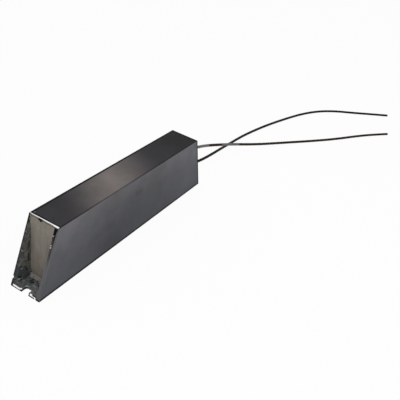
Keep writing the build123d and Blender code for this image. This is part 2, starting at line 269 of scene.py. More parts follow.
class HousingFinish(bpy.types.PropertyGroup):
    """Colours of the anodised bar"""

    side_colour: tint("Side Colour", "Film on the long walls near the top", (0.117, 0.115, 0.121))
    # Painted shade: the long walls darken from their top colour to this one near the floor
    side_foot_shade_colour: tint("Side Foot Shade Colour", "Film on those walls near the floor", (0.056, 0.059, 0.065))
    top_near_colour: tint("Top Front Colour", "Film on the top near the front end", (0.036, 0.034, 0.038))
    # Painted reflection: the paler, warmer film in the middle of the top
    top_reflection_colour: tint("Top Reflection Colour", "Paler, warmer film in the middle", (0.178, 0.157, 0.147))
    top_far_colour: tint("Top Rear Colour", "Darkest film, near the leads", (0.016, 0.014, 0.014))
    # Dark lines along the edges; at the long walls' feet, dirt and a painted contact shadow
    edge_and_foot_shade_colour: tint("Edge and Foot Shade Colour", "Dark line along the rounded edges", (0.003, 0.003, 0.004))
    dark_stain: tint("Dark Stain", "Darker clouds inside the hollow ends", (0.055, 0.056, 0.052))
    pale_stain: tint("Pale Stain", "Paler clouds inside the hollow ends", (0.128, 0.127, 0.118))
    low_stain: tint("Low Stain", "Smooth dark colour in there near the floor", (0.054, 0.061, 0.064))
    bare_colour: tint("Bare Metal Colour", "Sawn metal where the film is worn off", WHITE)


class PlugFinish(bpy.types.PropertyGroup):
    """Shape details and colour of the end plugs"""

    colour: tint("Plug Colour", "Beige of the end plugs", (0.216, 0.194, 0.165))
    # Darker colour of the plug's smears, and painted shade on its face near the left wall
    stain_and_shade: tint("Plug Stain and Shade", "Darker colour near the walls and the foot", (0.095, 0.088, 0.068))
    shoulder_drop: measure("Shoulder Drop", "How far below its top the face starts to slope back", 0.007)
    shoulder_depth: measure("Shoulder Depth", "How far back the top edge lies", 0.0021)
    chip_width: measure("Chip Width", "Width of the chip in the top edge", 0.005)
    chip_depth: measure("Chip Depth", "Depth of the chip in the top edge", 0.0014)
    chip_place: measure("Chip Place", "Distance of the chip from the middle", 0.0034, least=-0.01)
    grain: measure("Grain", "Size of the voxels that the cast surface is made from", 0.0004)
    roughness: measure("Unevenness", "Height of the cast surface's bumps", 0.00022)


class CementFinish(bpy.types.PropertyGroup):
    """Sizes and colours of the cement that was squeezed out"""

    bead_colour: tint("Bead Colour", "Brown cement along the plug's foot", (0.275, 0.248, 0.228))
    floor_colour: tint("Floor Cement Colour", "Thin dark cement on the floor", (0.085, 0.092, 0.092))
    vein_colour: tint("Vein Colour", "Paler ridges in the floor's cement", (0.160, 0.165, 0.160))
    pale_colour: tint("Crumb Colour", "Pale crumbs", (0.78, 0.76, 0.72))
    lump_height: measure("Lump Height", "Height of the lumps on the floor", 0.0011)
    film_height: measure("Film Height", "Thickness of the cement left on the floor", 0.0003)
    crumb_radius: measure("Crumb Radius", "Size of a crumb", 0.00055)
    seed: IntProperty(name="Seed", description="Start of the random places", default=7, min=0)


class LeadFinish(bpy.types.PropertyGroup):
    """Size and colours of the leads"""

    diameter: measure("Lead Diameter", "Outer diameter", 0.0030)
    jacket: measure("Jacket Thickness", "Wall of the braided jacket", 0.0006)
    tip_length: measure("Tip Length", "Length of the darker, sealed tip", 0.0030)
    weave_pitch: measure("Weave Pitch", "Length of one turn of the braid", 0.0024)
    brown: tint("Upper Lead Colour", "Varnished braid, dark brown", (0.020, 0.012, 0.006))
    grey: tint("Lower Lead Colour", "Varnished braid, dark grey", (0.009, 0.007, 0.006))
    dusted: tint("Dusted Colour", "Grey cement dust near the body", (0.130, 0.128, 0.126))


class InnerFinish(bpy.types.PropertyGroup):
    """Colours of the pieces inside the body"""

    cement: tint("Cement Colour", "Grey filling", (0.45, 0.44, 0.40))
    ceramic: tint("Ceramic Colour", "Tubes that carry the windings", (0.80, 0.77, 0.71))
    ribbon: tint("Ribbon Colour", "Resistance alloy", (0.38, 0.36, 0.34))
    strip: tint("Strip Colour", "Bands, crimps and the link", (0.60, 0.58, 0.54))
    copper: tint("Copper Colour", "Tinned strands of the leads", (0.72, 0.60, 0.50))


def settings(name):
    return getattr(bpy.context.scene, name)


def deselect_all():
    bpy.ops.object.select_all(action="DESELECT")


def hold(piece):
    """Makes a piece the only one that is selected, and the active one."""
    deselect_all()
    piece.select_set(True)
    bpy.context.view_layer.objects.active = piece


def edit(piece):
    hold(piece)
    bpy.ops.object.mode_set(mode="EDIT")


def close_edit():
    bpy.ops.object.mode_set(mode="OBJECT")


def settle():
    """Moves place, turn and scale into the selected mesh."""
    bpy.ops.object.transform_apply(location=True, rotation=True, scale=True)


def start(primitive, scale=(1, 1, 1), **values):
    """Adds a primitive, to be shaped further, with nothing else selected."""
    deselect_all()
    primitive(**values)
    piece = bpy.context.object
    piece.scale = scale
    settle()
    return piece


def start_block(low, high):
    """A cube between two corners."""
    low, high = Vector(low), Vector(high)
    return start(bpy.ops.mesh.primitive_cube_add, high - low, size=1, location=(low + high) / 2)


def dress(piece, material):
    piece.data.materials.clear()
    piece.data.materials.append(material)


def take_over(piece, name, material, replaced=()):
    """Names a new piece, gives it its finish and fixes it to the body."""
    piece.name = name
    piece.data.name = name
    dress(piece, material)
    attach(piece, BODY)
    if replaced:
        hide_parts(*replaced)


def choose(piece, kind, wanted):
    """In edit mode, selects the vertices or faces that the test wants, and says how many."""
    bpy.ops.mesh.select_mode(type=kind)
    mesh = bmesh.from_edit_mesh(piece.data)
    parts = mesh.faces if kind == "FACE" else mesh.verts
    for part in parts:
        part.select = bool(wanted(part))
    mesh.select_flush_mode()
    bmesh.update_edit_mesh(piece.data)
    return sum(part.select for part in parts)


def finish_with(piece, kind, **values):
    """Adds a modifier with these values and applies it."""
    modifier = piece.modifiers.new(kind.title(), kind)
    for key, value in values.items():
        setattr(modifier, key, value)
    hold(piece)
    bpy.ops.object.modifier_apply(modifier=modifier.name)


def cut_away(piece, cutter):
    finish_with(piece, "BOOLEAN", operation="DIFFERENCE", solver="EXACT", object=cutter)
    bpy.data.objects.remove(cutter)


def roughen(piece, name, size, height, **values):
    """Moves a surface in and out by clouds of this size and height, in metres."""
    pattern = bpy.data.textures.new(name, "CLOUDS")
    pattern.noise_scale = size
    pattern.noise_depth = 3
    values = {"mid_level": 0.5, "texture_coords": "LOCAL", **values}
    finish_with(piece, "DISPLACE", texture=pattern, strength=height, **values)


def cast(piece, voxel, *layers, angle):
    """Turns a sharp shape into a cast one: fine even faces, then layers of uneven clouds."""
    finish_with(piece, "REMESH", mode="VOXEL", voxel_size=voxel)
    for name, size, height in layers:
        roughen(piece, name, size, height)
    smooth(piece, angle)


def smooth(piece, degrees):
    hold(piece)
    bpy.ops.object.shade_smooth_by_angle(angle=math.radians(degrees))


class Nodes:
    """A node tree, with short ways to add and join nodes"""

    def __init__(self, tree):
        self.tree = tree

    def add(self, kind, **values):
        node = self.tree.nodes.new(kind)
        for key, value in values.items():
            setattr(node, key, value)
        return node

    def set(self, socket, value):
        if isinstance(value, bpy.types.NodeSocket):
            self.tree.links.new(value, socket)
        elif socket.type == "RGBA":
            socket.default_value = (*value[:3], 1)
        else:
            socket.default_value = value

    def put(self, node, **values):
        """Joins or sets inputs by their names, and gives the node's first output."""
        for key, value in values.items():
            self.set(node.inputs[key.replace("_", " ")], value)
        return node.outputs[0]

    def fill(self, node, values, places=(0, 1, 2)):
        """Joins or sets inputs by their numbers."""
        for place, value in zip(places, values):
            self.set(node.inputs[place], value)
        return node.outputs

    def sum(self, operation, *values, clamp=False):
        return self.fill(self.add("ShaderNodeMath", operation=operation, use_clamp=clamp), values)[0]

    def vector(self, operation, *values, output="Vector"):
        return self.fill(self.add("ShaderNodeVectorMath", operation=operation), values)[output]

    def scaled(self, value, factor, offset):
        """value times factor, plus offset."""
        return self.sum("MULTIPLY_ADD", value, factor, offset)

    def both(self, first, *others):
        """1 where every mask is 1."""
        for other in others:
            first = self.sum("MULTIPLY", first, other)
        return first

    def either(self, first, *others):
        """1 where any mask is 1."""
        for other in others:
            first = self.sum("MAXIMUM", first, other)
        return first

    def above(self, value, edge, softness):
        """1 where value is above edge, 0 below it, over a soft step."""
        node = self.add("ShaderNodeMapRange", interpolation_type="SMOOTHSTEP")
        return self.put(node, Value=value, From_Min=edge - softness, From_Max=edge + softness)

    def below(self, value, edge, softness):
        return self.sum("SUBTRACT", 1.0, self.above(value, edge, softness))

    def between(self, value, low, high, softness, high_softness=None):
        """1 from the low edge to the high one."""
        upper = self.below(value, high, softness if high_softness is None else high_softness)
        return self.both(self.above(value, low, softness), upper)

    def blend(self, share, first, second):
        """A number between two others."""
        return self.fill(self.add("ShaderNodeMix"), (share, first, second), (0, 2, 3))[0]

    def mix(self, share, first, second, blend="MIX"):
        """A colour between two others."""
        node = self.add("ShaderNodeMix", data_type="RGBA", blend_type=blend)
        return self.fill(node, (share, first, second), (0, 6, 7))[2]

    def times(self, first, second, share=1.0):
        """A colour, darkened or tinted by another."""
        return self.mix(share, first, second, "MULTIPLY")

    def ramp(self, value, stops):
        """A colour that changes evenly along a value, through (value, colour) stops."""
        first, last = stops[0][0], stops[-1][0]
        span = self.put(self.add("ShaderNodeMapRange"), Value=value, From_Min=first, From_Max=last)
        node = self.add("ShaderNodeValToRGB")
        band = node.color_ramp.elements
        band[0].color = (*stops[0][1], 1)
        band[1].color = (*stops[-1][1], 1)
        for place, colour in stops[1:-1]:
            band.new((place - first) / (last - first)).color = (*colour, 1)
        return self.put(node, Fac=span)

    def noise(self, place, scale, output="Fac", **values):
        node = self.add("ShaderNodeTexNoise")
        self.put(node, Vector=place, Scale=scale, **values)
        return node.outputs[output]

    def spread(self, place):
        """X, Y and Z of a place."""
        return tuple(self.fill(self.add("ShaderNodeSeparateXYZ"), [place]))

    def shared(self, name, **values):
        """Places a shared group with its own values, and gives its outputs."""
        node = self.add("ShaderNodeGroup", node_tree=shared_group(name))
        self.put(node, **values)
        return node.outputs

    def marked(self, place, base, marks, blend="MIX"):
        """Lays strokes over a colour, each given as its two ends, half width, softness and colour."""
        for start, end, width, softness, colour in marks:
            stroke = self.shared(
                "Stroke", Vector=place, Start=start, End=end, Width=width, Softness=softness
            )
            base = self.mix(stroke[0], base, colour, blend)
        return base

    def seen_rays(self):
        """1 for rays that show the ground itself: straight, mirrored or through something clear."""
        rays = self.add("ShaderNodeLightPath").outputs
        return self.either(rays["Is Camera Ray"], rays["Is Glossy Ray"], rays["Is Transmission Ray"])


class Shader(Nodes):
    """A material's nodes, with the piece's own coordinates in millimetres"""

    def __init__(self, name):
        self.material = bpy.data.materials.new(name)
        self.material.use_nodes = True
        super().__init__(self.material.node_tree)
        place = self.add("ShaderNodeTexCoord").outputs["Object"]
        self.place = self.put(self.add("ShaderNodeMapping"), Vector=place, Scale=(1000, 1000, 1000))
        self.x, self.y, self.z = self.spread(self.place)

    def speckle(self, clouds, grains, share):
        """Clouds and grains of these scales; share is how much of the mask is grains."""
        return self.shared(
            "Speckle", Vector=self.place, Cloud_Scale=clouds, Grain_Scale=grains, Grain_Share=share
        )

    def drawn(self, stretch, scale):
        """Fine marks, drawn out along the axes where stretch is small."""
        return self.shared("Drawn Marks", Vector=self.place, Stretch=stretch, Scale=scale)[0]

    def ragged(self, height, amount=0.35):
        """The place, folded to the front end and moved to and fro.

        Both ends then get the same marks, and what is drawn has ragged edges.
        """
        front = self.sum("MULTIPLY", self.sum("ABSOLUTE", self.x), -1.0)
        place = self.put(self.add("ShaderNodeCombineXYZ"), X=front, Y=self.y, Z=height)
        shift = self.vector("SUBTRACT", self.noise(place, WAVES, "Color"), (0.5, 0.5, 0.5))
        return self.vector("MULTIPLY_ADD", shift, (2 * amount, 2 * amount, 2 * amount), place)

    def reach(self):
        """How far a place lies beyond the sawn planes, in millimetres."""
        slant = self.sum("MULTIPLY", self.z, END_INSET / TOP_MM)
        return self.sum("SUBTRACT", self.sum("ADD", self.sum("ABSOLUTE", self.x), slant), LENGTH_MM)

    def on_cut(self, reach):
        """1 on the sawn faces."""
        return self.above(reach, -0.05, 0.02)

    def aged(self, stains):
        finish = settings("shunt_housing")
        return self.shared(
            "Aged Wall",
            Vector=self.place,
            Clouds=stains["Mask"],
            Dark=finish.dark_stain,
            Pale=finish.pale_stain,
            Low=finish.low_stain,
        )[0]

    def stained_floor(self, stains):
        finish = settings("shunt_cement")
        return self.shared(
            "Stained Floor",
            Vector=self.place,
            Clouds=stains["Mask"],
            Floor=finish.floor_colour,
            Vein=finish.vein_colour,
        )[0]

    def done(self, base, height, strength, distance, **values):
        """Joins colour and relief to the surface, sets its other values and gives the material."""
        bump = self.put(self.add("ShaderNodeBump"), Height=height, Strength=strength, Distance=distance)
        self.put(self.tree.nodes["Principled BSDF"], Base_Color=base, Normal=bump, **values)
        return self.material


NUMBER, VECTOR, COLOUR = "NodeSocketFloat", "NodeSocketVector", "NodeSocketColor"


def new_group(name, inputs, outputs):
    """An empty shader node group: its nodes, what comes in and where it goes out."""
    tree = bpy.data.node_groups.new(name, "ShaderNodeTree")
    for side, sockets in (("INPUT", inputs), ("OUTPUT", outputs)):
        for label, kind in sockets.items():
            tree.interface.new_socket(name=label, in_out=side, socket_type=kind)
    group = Nodes(tree)
    return group, group.add("NodeGroupInput").outputs, group.add("NodeGroupOutput")


def speckle_group(name):
    """A mask from 0 to 1, mixed from broad clouds and fine grains, and the grains alone."""
    numbers = dict.fromkeys(("Cloud Scale", "Grain Scale", "Grain Share"), NUMBER)
    outputs = {"Mask": NUMBER, "Grain": NUMBER}
    group, given, made = new_group(name, {"Vector": VECTOR, **numbers}, outputs)
    cloud = group.noise(given["Vector"], given["Cloud Scale"], Detail=4)
    grain = group.noise(given["Vector"], given["Grain Scale"], Detail=6, Roughness=0.65)
    group.fill(made, (group.blend(given["Grain Share"], cloud, grain), grain))


def drawn_group(name):
    """Fine marks drawn out along one axis by a rolled or sawn surface."""
    inputs = {"Vector": VECTOR, "Stretch": VECTOR, "Scale": NUMBER}
    group, given, made = new_group(name, inputs, {"Mask": NUMBER})
    stretched = group.vector("MULTIPLY", given["Vector"], given["Stretch"])
    group.fill(made, [group.noise(stretched, given["Scale"], Detail=3)])


def stroke_group(name):
    """A mask that is 1 within a distance of the line between two places."""
    inputs = {"Vector": VECTOR, "Start": VECTOR, "End": VECTOR, "Width": NUMBER, "Softness": NUMBER}
    group, given, made = new_group(name, inputs, {"Mask": NUMBER})
    offset = group.vector("SUBTRACT", given["Vector"], given["Start"])
    line = group.vector("SUBTRACT", given["End"], given["Start"])
    along = group.vector("DOT_PRODUCT", offset, line, output="Value")
    square = group.vector("DOT_PRODUCT", line, line, output="Value")
    share = group.sum("DIVIDE", along, square, clamp=True)
    foot = group.put(group.add("ShaderNodeVectorMath", operation="SCALE"), Vector=line, Scale=share)
    edge = group.put(
        group.add("ShaderNodeMapRange", interpolation_type="SMOOTHSTEP"),
        Value=group.vector("DISTANCE", offset, foot, output="Value"),
        From_Min=group.sum("SUBTRACT", given["Width"], given["Softness"]),
        From_Max=group.sum("ADD", given["Width"], given["Softness"]),
        To_Min=1.0,
        To_Max=0.0,
    )
    group.fill(made, [edge])


def aged_group(name):
    """Mottled grey of the old surfaces inside the hollow ends, smooth and dark near the floor."""
    colours = dict.fromkeys(("Dark", "Pale", "Low"), COLOUR)
    inputs = {"Vector": VECTOR, "Clouds": NUMBER, **colours}
    group, given, made = new_group(name, inputs, {"Colour": COLOUR})
    x, _, z = group.spread(given["Vector"])
    ends = group.sum("ABSOLUTE", x)
    mottled = group.mix(group.above(given["Clouds"], 0.50, 0.07), given["Dark"], given["Pale"])
    low = group.below(group.scaled(ends, -0.9, z), -84.2, 1.2)
    rail_end = group.both(group.above(ends, 109.5, 1.5), group.below(z, 8.2, 0.1))
    low = group.sum("SUBTRACT", low, rail_end, clamp=True)
    group.fill(made, [group.mix(low, mottled, given["Low"])])


def floor_group(name):
    """Stained floor of the hollow ends: dark and bluish on the left, paler on the right."""
    inputs = {"Vector": VECTOR, "Clouds": NUMBER, "Floor": COLOUR, "Vein": COLOUR}
    group, given, made = new_group(name, inputs, {"Colour": COLOUR})
    y = group.spread(given["Vector"])[1]
    vein = group.above(given["Clouds"], 0.56, 0.08)
    hollow = group.both(group.below(given["Clouds"], 0.42, 0.08), 0.6)
    floor = group.mix(hollow, group.mix(vein, given["Floor"], given["Vein"]), (0.03, 0.03, 0.03))
    right = group.both(group.below(y, -1.0, 2.5), 0.7)
    group.fill(made, [group.mix(right, floor, (0.165, 0.165, 0.163))])


def sawn_group(name):
    """Sawn edge of a long wall and its sheet: mottled on the left, dark at the head on the right."""
    group, given, made = new_group(name, {"Vector": VECTOR, "Aged": COLOUR}, {"Colour": COLOUR})
    y, z = group.spread(given["Vector"])[1:]
    sides = group.sum("ABSOLUTE", y)
    outer = group.sum("SUBTRACT", sides, group.both(group.above(z, 56.5, 1.5), 0.6))
    stripe = group.mix(group.above(z, 17.0, 4.0), SAWN_STRIPE, (0.118, 0.115, 0.122))
    right = group.mix(group.above(outer, 13.4, 0.3), group.ramp(z, SAWN_DARKS), stripe)
    left = group.times(given["Aged"], (0.62, 0.62, 0.62))
    left = group.mix(group.above(z, 52.5, 1.0), left, BLACK)
    left = group.mix(group.above(sides, 14.2, 0.25), left, NEAR_BLACK)
    group.fill(made, [group.mix(group.above(y, 0.0, 1.0), right, left)])


GROUP_MAKERS = {
    "Speckle": speckle_group,
    "Drawn Marks": drawn_group,
    "Stroke": stroke_group,
    "Aged Wall": aged_group,
    "Stained Floor": floor_group,
    "Sawn Wall": sawn_group,
}


def shared_group(name):
    """A node group that materials share, built when it is first asked for."""
    if name not in bpy.data.node_groups:
        GROUP_MAKERS[name](name)
    return bpy.data.node_groups[name]


def floor_material(share):
    """Seen almost white by itself; the rest is dull and takes the shadow."""
    material = bpy.data.materials.new("Pale Floor")
    material.use_nodes = True
    shade = Nodes(material.node_tree)
    dull = shade.put(
        shade.tree.nodes["Principled BSDF"],
        Base_Color=(0.9, 0.9, 0.9),
        Roughness=0.9,
        Specular_IOR_Level=0.0,
    )
    glow = shade.put(shade.add("ShaderNodeEmission"), Color=(1, 1, 1))
    seen = shade.both(shade.seen_rays(), share)
    blend = shade.fill(shade.add("ShaderNodeMixShader"), (seen, dull, glow))
    shade.set(shade.tree.nodes["Material Output"].inputs["Surface"], blend[0])
    return material


def light_world(context, fill):
    """Seen white, but dimmer for what it lights."""
    world = bpy.data.worlds.new("Studio")
    world.use_nodes = True
    context.scene.world = world
    shade = Nodes(world.node_tree)
    strength = shade.blend(shade.seen_rays(), fill, 1.0)
    shade.put(shade.tree.nodes["Background"], Color=(1, 1, 1), Strength=strength)


class SHUNT_OT_stage(bpy.types.Operator):
    """Add the camera, the pale floor and the soft light"""

    bl_idname = "shunt.stage"
    bl_label = "Camera, Floor and Light"

    def execute(self, context):
        stage = settings("shunt_stage")
        deselect_all()
        turn = Matrix.Rotation(-stage.heading, 4, "Z")
        tip = Matrix.Rotation(math.pi / 2 - stage.dip, 4, "X")
        lean = Matrix.Rotation(stage.roll, 4, "Z")
        bpy.ops.object.camera_add()
        camera = context.object
        camera.name = "Camera"
        camera.data.sensor_width = 36
        camera.data.lens = stage.lens
        camera.data.clip_start = 0.01
        camera.matrix_world = Matrix.Translation(stage.camera_place) @ turn @ tip @ lean
        context.scene.camera = camera

        bpy.ops.mesh.primitive_plane_add(size=stage.floor_size)
        floor = context.object
        floor.name = "Floor"
        floor.data.materials.append(floor_material(stage.floor_glow))

        bpy.ops.object.light_add(type="AREA", location=(-0.55, -0.75, 1.25))
        key = context.object
        key.name = "Key Lamp"
        key.data.shape = "DISK"
        key.data.size = stage.key_size
        key.data.energy = stage.key_power
        aim = Vector((0.0, 0.0, 0.03)) - key.location
        key.rotation_euler = aim.to_track_quat("-Z", "Y").to_euler()
        light_world(context, stage.fill_light)
        context.scene.view_settings.view_transform = "Standard"
        return {"FINISHED"}


def make_lead(context, name, route):
    """A round tube along a smooth line that the route's points pull into shape."""
    line = bpy.data.curves.new(name, "CURVE")
    line.dimensions = "3D"
    line.resolution_u = 20
    spline = line.splines.new("NURBS")
    spline.points.add(len(route) - 1)
    for point, place in zip(spline.points, route):
        point.co = (*place, 1)
    spline.order_u = 3
    spline.use_endpoint_u = True
    lead = bpy.data.objects.new(name, line)
    context.collection.objects.link(lead)
    centre_line = bpy.data.meshes.new_from_object(lead)
    path = [vertex.co.copy() for vertex in centre_line.vertices]
    bpy.data.meshes.remove(centre_line)
    length = sum((b - a).length for a, b in zip(path, path[1:]))

    line.bevel_depth = settings("shunt_leads").diameter / 2
    line.bevel_resolution = 5
    line.use_fill_caps = True
    hold(lead)
    bpy.ops.object.convert(target="MESH")
    return context.object, path, length


def cut_end(lead, route, finish):
    """Sinks the strands into the jacket at both ends."""
    edit(lead)
    for end, inward in ((route[0], route[1]), (route[-1], route[-2])):
        end, inward = Vector(end), Vector(inward)
        axis = (inward - end).normalized()

        def at_end(face):
            near = (face.calc_center_median() - end).length < finish.diameter
            return near and abs(face.normal.dot(axis)) > 0.9

        if choose(lead, "FACE", at_end) == 0:
            raise RuntimeError("a lead's end face wasn't found")
        bpy.ops.mesh.dissolve_faces()
        bpy.ops.mesh.inset(thickness=finish.jacket)
        bpy.ops.mesh.inset(thickness=finish.jacket / 8, depth=-finish.jacket / 3)
        lead.active_material_index = 1
        bpy.ops.object.material_slot_assign()
    close_edit()
    smooth(lead, 50)


def braid_material(name, colour, dust, length):
    """Varnished braid; the map's U runs along the lead and its V round it, both from 0 to 1."""
    finish = settings("shunt_leads")
    shade = Shader(name)
    along, across, _ = shade.spread(shade.add("ShaderNodeUVMap", uv_map="UVMap").outputs[0])
    turns = shade.sum("MULTIPLY", across, 8 * math.tau)
    rise = shade.sum("MULTIPLY", along, length * MM / finish.weave_pitch * math.tau)
    one_way = shade.sum("SINE", shade.sum("ADD", turns, rise))
    other_way = shade.sum("SINE", shade.sum("SUBTRACT", turns, rise))
    tone = shade.scaled(shade.speckle(0.08, 1.6, 0.4)["Mask"], 0.9, 0.55)
    base = shade.times(colour, tone)
    if dust is not None:
        first_end, second_start, second_end = DUST_ENDS
        beside_body = shade.below(shade.x, first_end, 0.8)
        further_out = shade.between(shade.x, second_start, second_end, 0.8)
        base = shade.mix(shade.either(beside_body, further_out), base, shade.times(dust, tone))
    tip = shade.above(along, 1 - finish.tip_length / MM / length, 0.0005)
    base = shade.mix(tip, base, (0.001, 0.001, 0.001))
    weave = shade.either(one_way, other_way)
    return shade.done(base, weave, 0.4, 0.0001, Roughness=0.6, Specular_IOR_Level=0.08)


def strand_material():
    shade = Shader("Strand Ends")
    strand = shade.above(shade.speckle(1.0, 3.5, 0.7)["Mask"], 0.5, 0.08)
    base = shade.mix(strand, (0.02, 0.015, 0.012), settings("shunt_inside").copper)
    return shade.done(base, strand, 0.6, 0.0001, Roughness=0.4, Metallic=0.8)


class SHUNT_OT_leads(bpy.types.Operator):
    """Add the two free leads along their routes"""

    bl_idname = "shunt.leads"
    bl_label = "Free Leads"

    def execute(self, context):
        finish = settings("shunt_leads")
        strands = strand_material()
        for place, route, tone, colour, dust in (
            ("upper", UPPER_ROUTE, "brown", finish.brown, finish.dusted),
            ("lower", LOWER_ROUTE, "grey", finish.grey, None),
        ):
            name = f"{place}_braided_lead"
            lead, path, length = make_lead(context, name, route)
            braid = braid_material(f"Lead Jacket {tone.title()} Braid", colour, dust, length / MM)
            take_over(lead, name, braid, [f"{place}_lead"])
            lead.data.materials.append(strands)
            cut_end(lead, route, finish)
        return {"FINISHED"}


def anodised_material():
    """Dark satin film with a painted reflection, paler and warmer, in the middle of the top; bare where the
    bar was sawn.
    """
    finish = settings("shunt_housing")
    shade = Shader("Anodised Aluminium")
    y, z = shade.y, shade.z
    sides = shade.sum("ABSOLUTE", y)
    reach = shade.reach()
    ragged = shade.ragged(shade.z)

    outside = film_colour(shade, finish)
    outside = shade.mix(edge_mask(shade, sides, reach), outside, finish.edge_and_foot_shade_colour)
    inside = shade.both(
        shade.below(sides, WIDTH_MM - SIDE_WALL + 0.1, 0.05),
        shade.between(z, FLOOR_WALL - 0.1, TOP_MM - TOP_WALL + 0.1, 0.05),
    )
    stains = shade.speckle(*STAINS)
    aged = shade.aged(stains)
    inner = shade.mix(shade.below(z, FLOOR_WALL + 0.3, 0.1), aged, shade.stained_floor(stains))
    inner = shade.marked(ragged, inner, RAIL_MARKS + FLOOR_MARKS)
    colour = shade.mix(inside, outside, inner)

    on_cut = shade.on_cut(reach)
    cut, ridge = cut_colour(shade, finish, ragged, aged, stains["Grain"])
    colour = shade.mix(on_cut, colour, cut)
    rim = shade.both(
        shade.above(shade.scaled(y, -0.022, reach), -0.48, 0.12),
        shade.above(z, TOP_EDGE, 0.1),
        shade.between(y, -14.2, 14.3, 0.3),
        shade.below(shade.x, 0.0, 1.0),
    )
    colour = shade.mix(rim, colour, finish.bare_colour)
    colour = slot_colour(shade, colour, stains["Grain"], sides, on_cut)

    lines = shade.drawn((0.02, 2.0, 2.0), 2.2)
    film_rough = shade.scaled(lines, 0.14, 0.34)
    saw_height = shade.both(shade.drawn((1.0, 0.10, 1.6), 1.6), on_cut)
    relief = shade.sum("ADD", shade.sum("MULTIPLY", lines, 0.25), saw_height)
    relief = shade.sum("ADD", relief, shade.both(stains["Grain"], inside))
    bare = shade.either(rim, shade.both(ridge, on_cut))
    return shade.done(
        colour,
        relief,
        0.35,
        0.0001,
        Roughness=shade.sum("MULTIPLY_ADD", inside, 0.35, film_rough, clamp=True),
        Metallic=shade.either(shade.scaled(inside, -0.35, 0.45), bare),
        Specular_IOR_Level=0.2,
        Specular_Tint=(0.35, 0.35, 0.37),
    )


def film_colour(shade, finish):
    """Colour of the film outside: a painted reflection in the middle of the top, and painted shade that
    darkens the walls downwards.
    """
    slanting = shade.scaled(shade.y, -0.6, shade.x)
    # Painted reflection: a paler, warmer band across the middle of the top
    middle = shade.between(slanting, -47.0, 9.0, 33.0, 34.0)
    far = shade.above(shade.x, 60.0, 40.0)
    top = shade.mix(far, finish.top_near_colour, finish.top_far_colour)
    top = shade.mix(middle, top, finish.top_reflection_colour)
    # Painted shade: the long walls darken downwards
    painted_shade_height = shade.sum("POWER", shade.sum("DIVIDE", shade.z, TOP_MM, clamp=True), 1.5)
    wall = shade.mix(painted_shade_height, finish.side_foot_shade_colour, finish.side_colour)
    ends = shade.above(shade.sum("ABSOLUTE", shade.x), 67.5, 37.5)
    wall = shade.times(wall, shade.scaled(ends, 0.38, 1.0))
    wall = shade.marked(shade.place, wall, SIDE_TONE_PATCHES, blend="MULTIPLY")
    outside = shade.mix(shade.above(shade.z, TOP_EDGE, 0.25), wall, top)
    broad = shade.speckle(0.035, 0.11, 0.4)
    outside = shade.times(outside, shade.scaled(broad["Mask"], 0.9, 0.55))
    outside = shade.marked(shade.place, outside, TOP_MARKS)
    cool_or_warm = shade.above(broad["Grain"], 0.5, 0.12)
    hue = shade.mix(cool_or_warm, (0.94, 1.02, 1.02), (1.05, 0.98, 1.04))
    return shade.times(outside, hue, 0.5)


def edge_mask(shade, sides, reach):
    """Dark lines along the long edges and round the sawn ends, with dirt and a painted contact shadow along
    the long walls' feet.
    """
    x, y, z = shade.x, shade.y, shade.z
    on_top = shade.above(z, TOP_EDGE, 0.15)
    return shade.either(
        # The top's left, right and far edges, and its edges behind the saw cuts
        shade.both(on_top, shade.above(y, 12.7, 0.4)),
        shade.both(shade.above(z, TOP_MM - 0.25, 0.1), shade.below(y, -13.8, 0.25), 0.6),
        shade.both(on_top, shade.above(x, 94.6, 0.8)),
        shade.both(on_top, shade.between(reach, -2.0, -0.15, 0.2, 0.1)),
        # The long walls' feet, with dirt and a painted contact shadow, and their edges at the far end
        shade.both(shade.below(z, 2.6, 0.3), shade.above(sides, 14.0, 0.2)),
        shade.both(shade.above(x, 0.0, 1.0), shade.above(reach, -1.7, 0.3)),
    )


def cut_colour(shade, finish, ragged, aged, grain):
    """Sawn faces: bright along the top edge, with painted highlights and painted shade on the feet, cement
    in between, dark corners.
    """
    y, z = shade.y, shade.z
    cut = shade.shared("Sawn Wall", Vector=shade.place, Aged=aged)[0]
    smear = shade.both(shade.between(y, -9.8, 12.6, 0.5, 0.4), shade.above(z, TOP_MM - 1.35, 0.15))
    cement = shade.times(settings("shunt_plugs").colour, shade.scaled(grain, 0.8, 0.55))
    cut = shade.mix(smear, cut, cement)
    # Painted shade on the sawn feet: black, with a grey stripe on the right foot's outer part, and black
    # again along the floor
    feet = shade.mix(shade.below(y, -10.8, 0.3), BLACK, SAWN_STRIPE)
    feet = shade.mix(shade.below(z, 1.2, 0.3), feet, BLACK)
    cut = shade.mix(shade.below(z, FLOOR_WALL + 0.05, 0.1), cut, feet)
    cut = shade.marked(ragged, cut, EDGE_MARKS + FOOT_MARKS + CHIP_SHADE_MARKS)
    thicker = shade.both(shade.below(y, -9.5, 1.5), 0.50)
    ridge = shade.above(shade.sum("ADD", z, thicker), TOP_EDGE, 0.12)
    ridge = shade.both(ridge, shade.between(y, -13.9, 14.2, 0.2, 0.3))
    return shade.mix(ridge, cut, finish.bare_colour), ridge


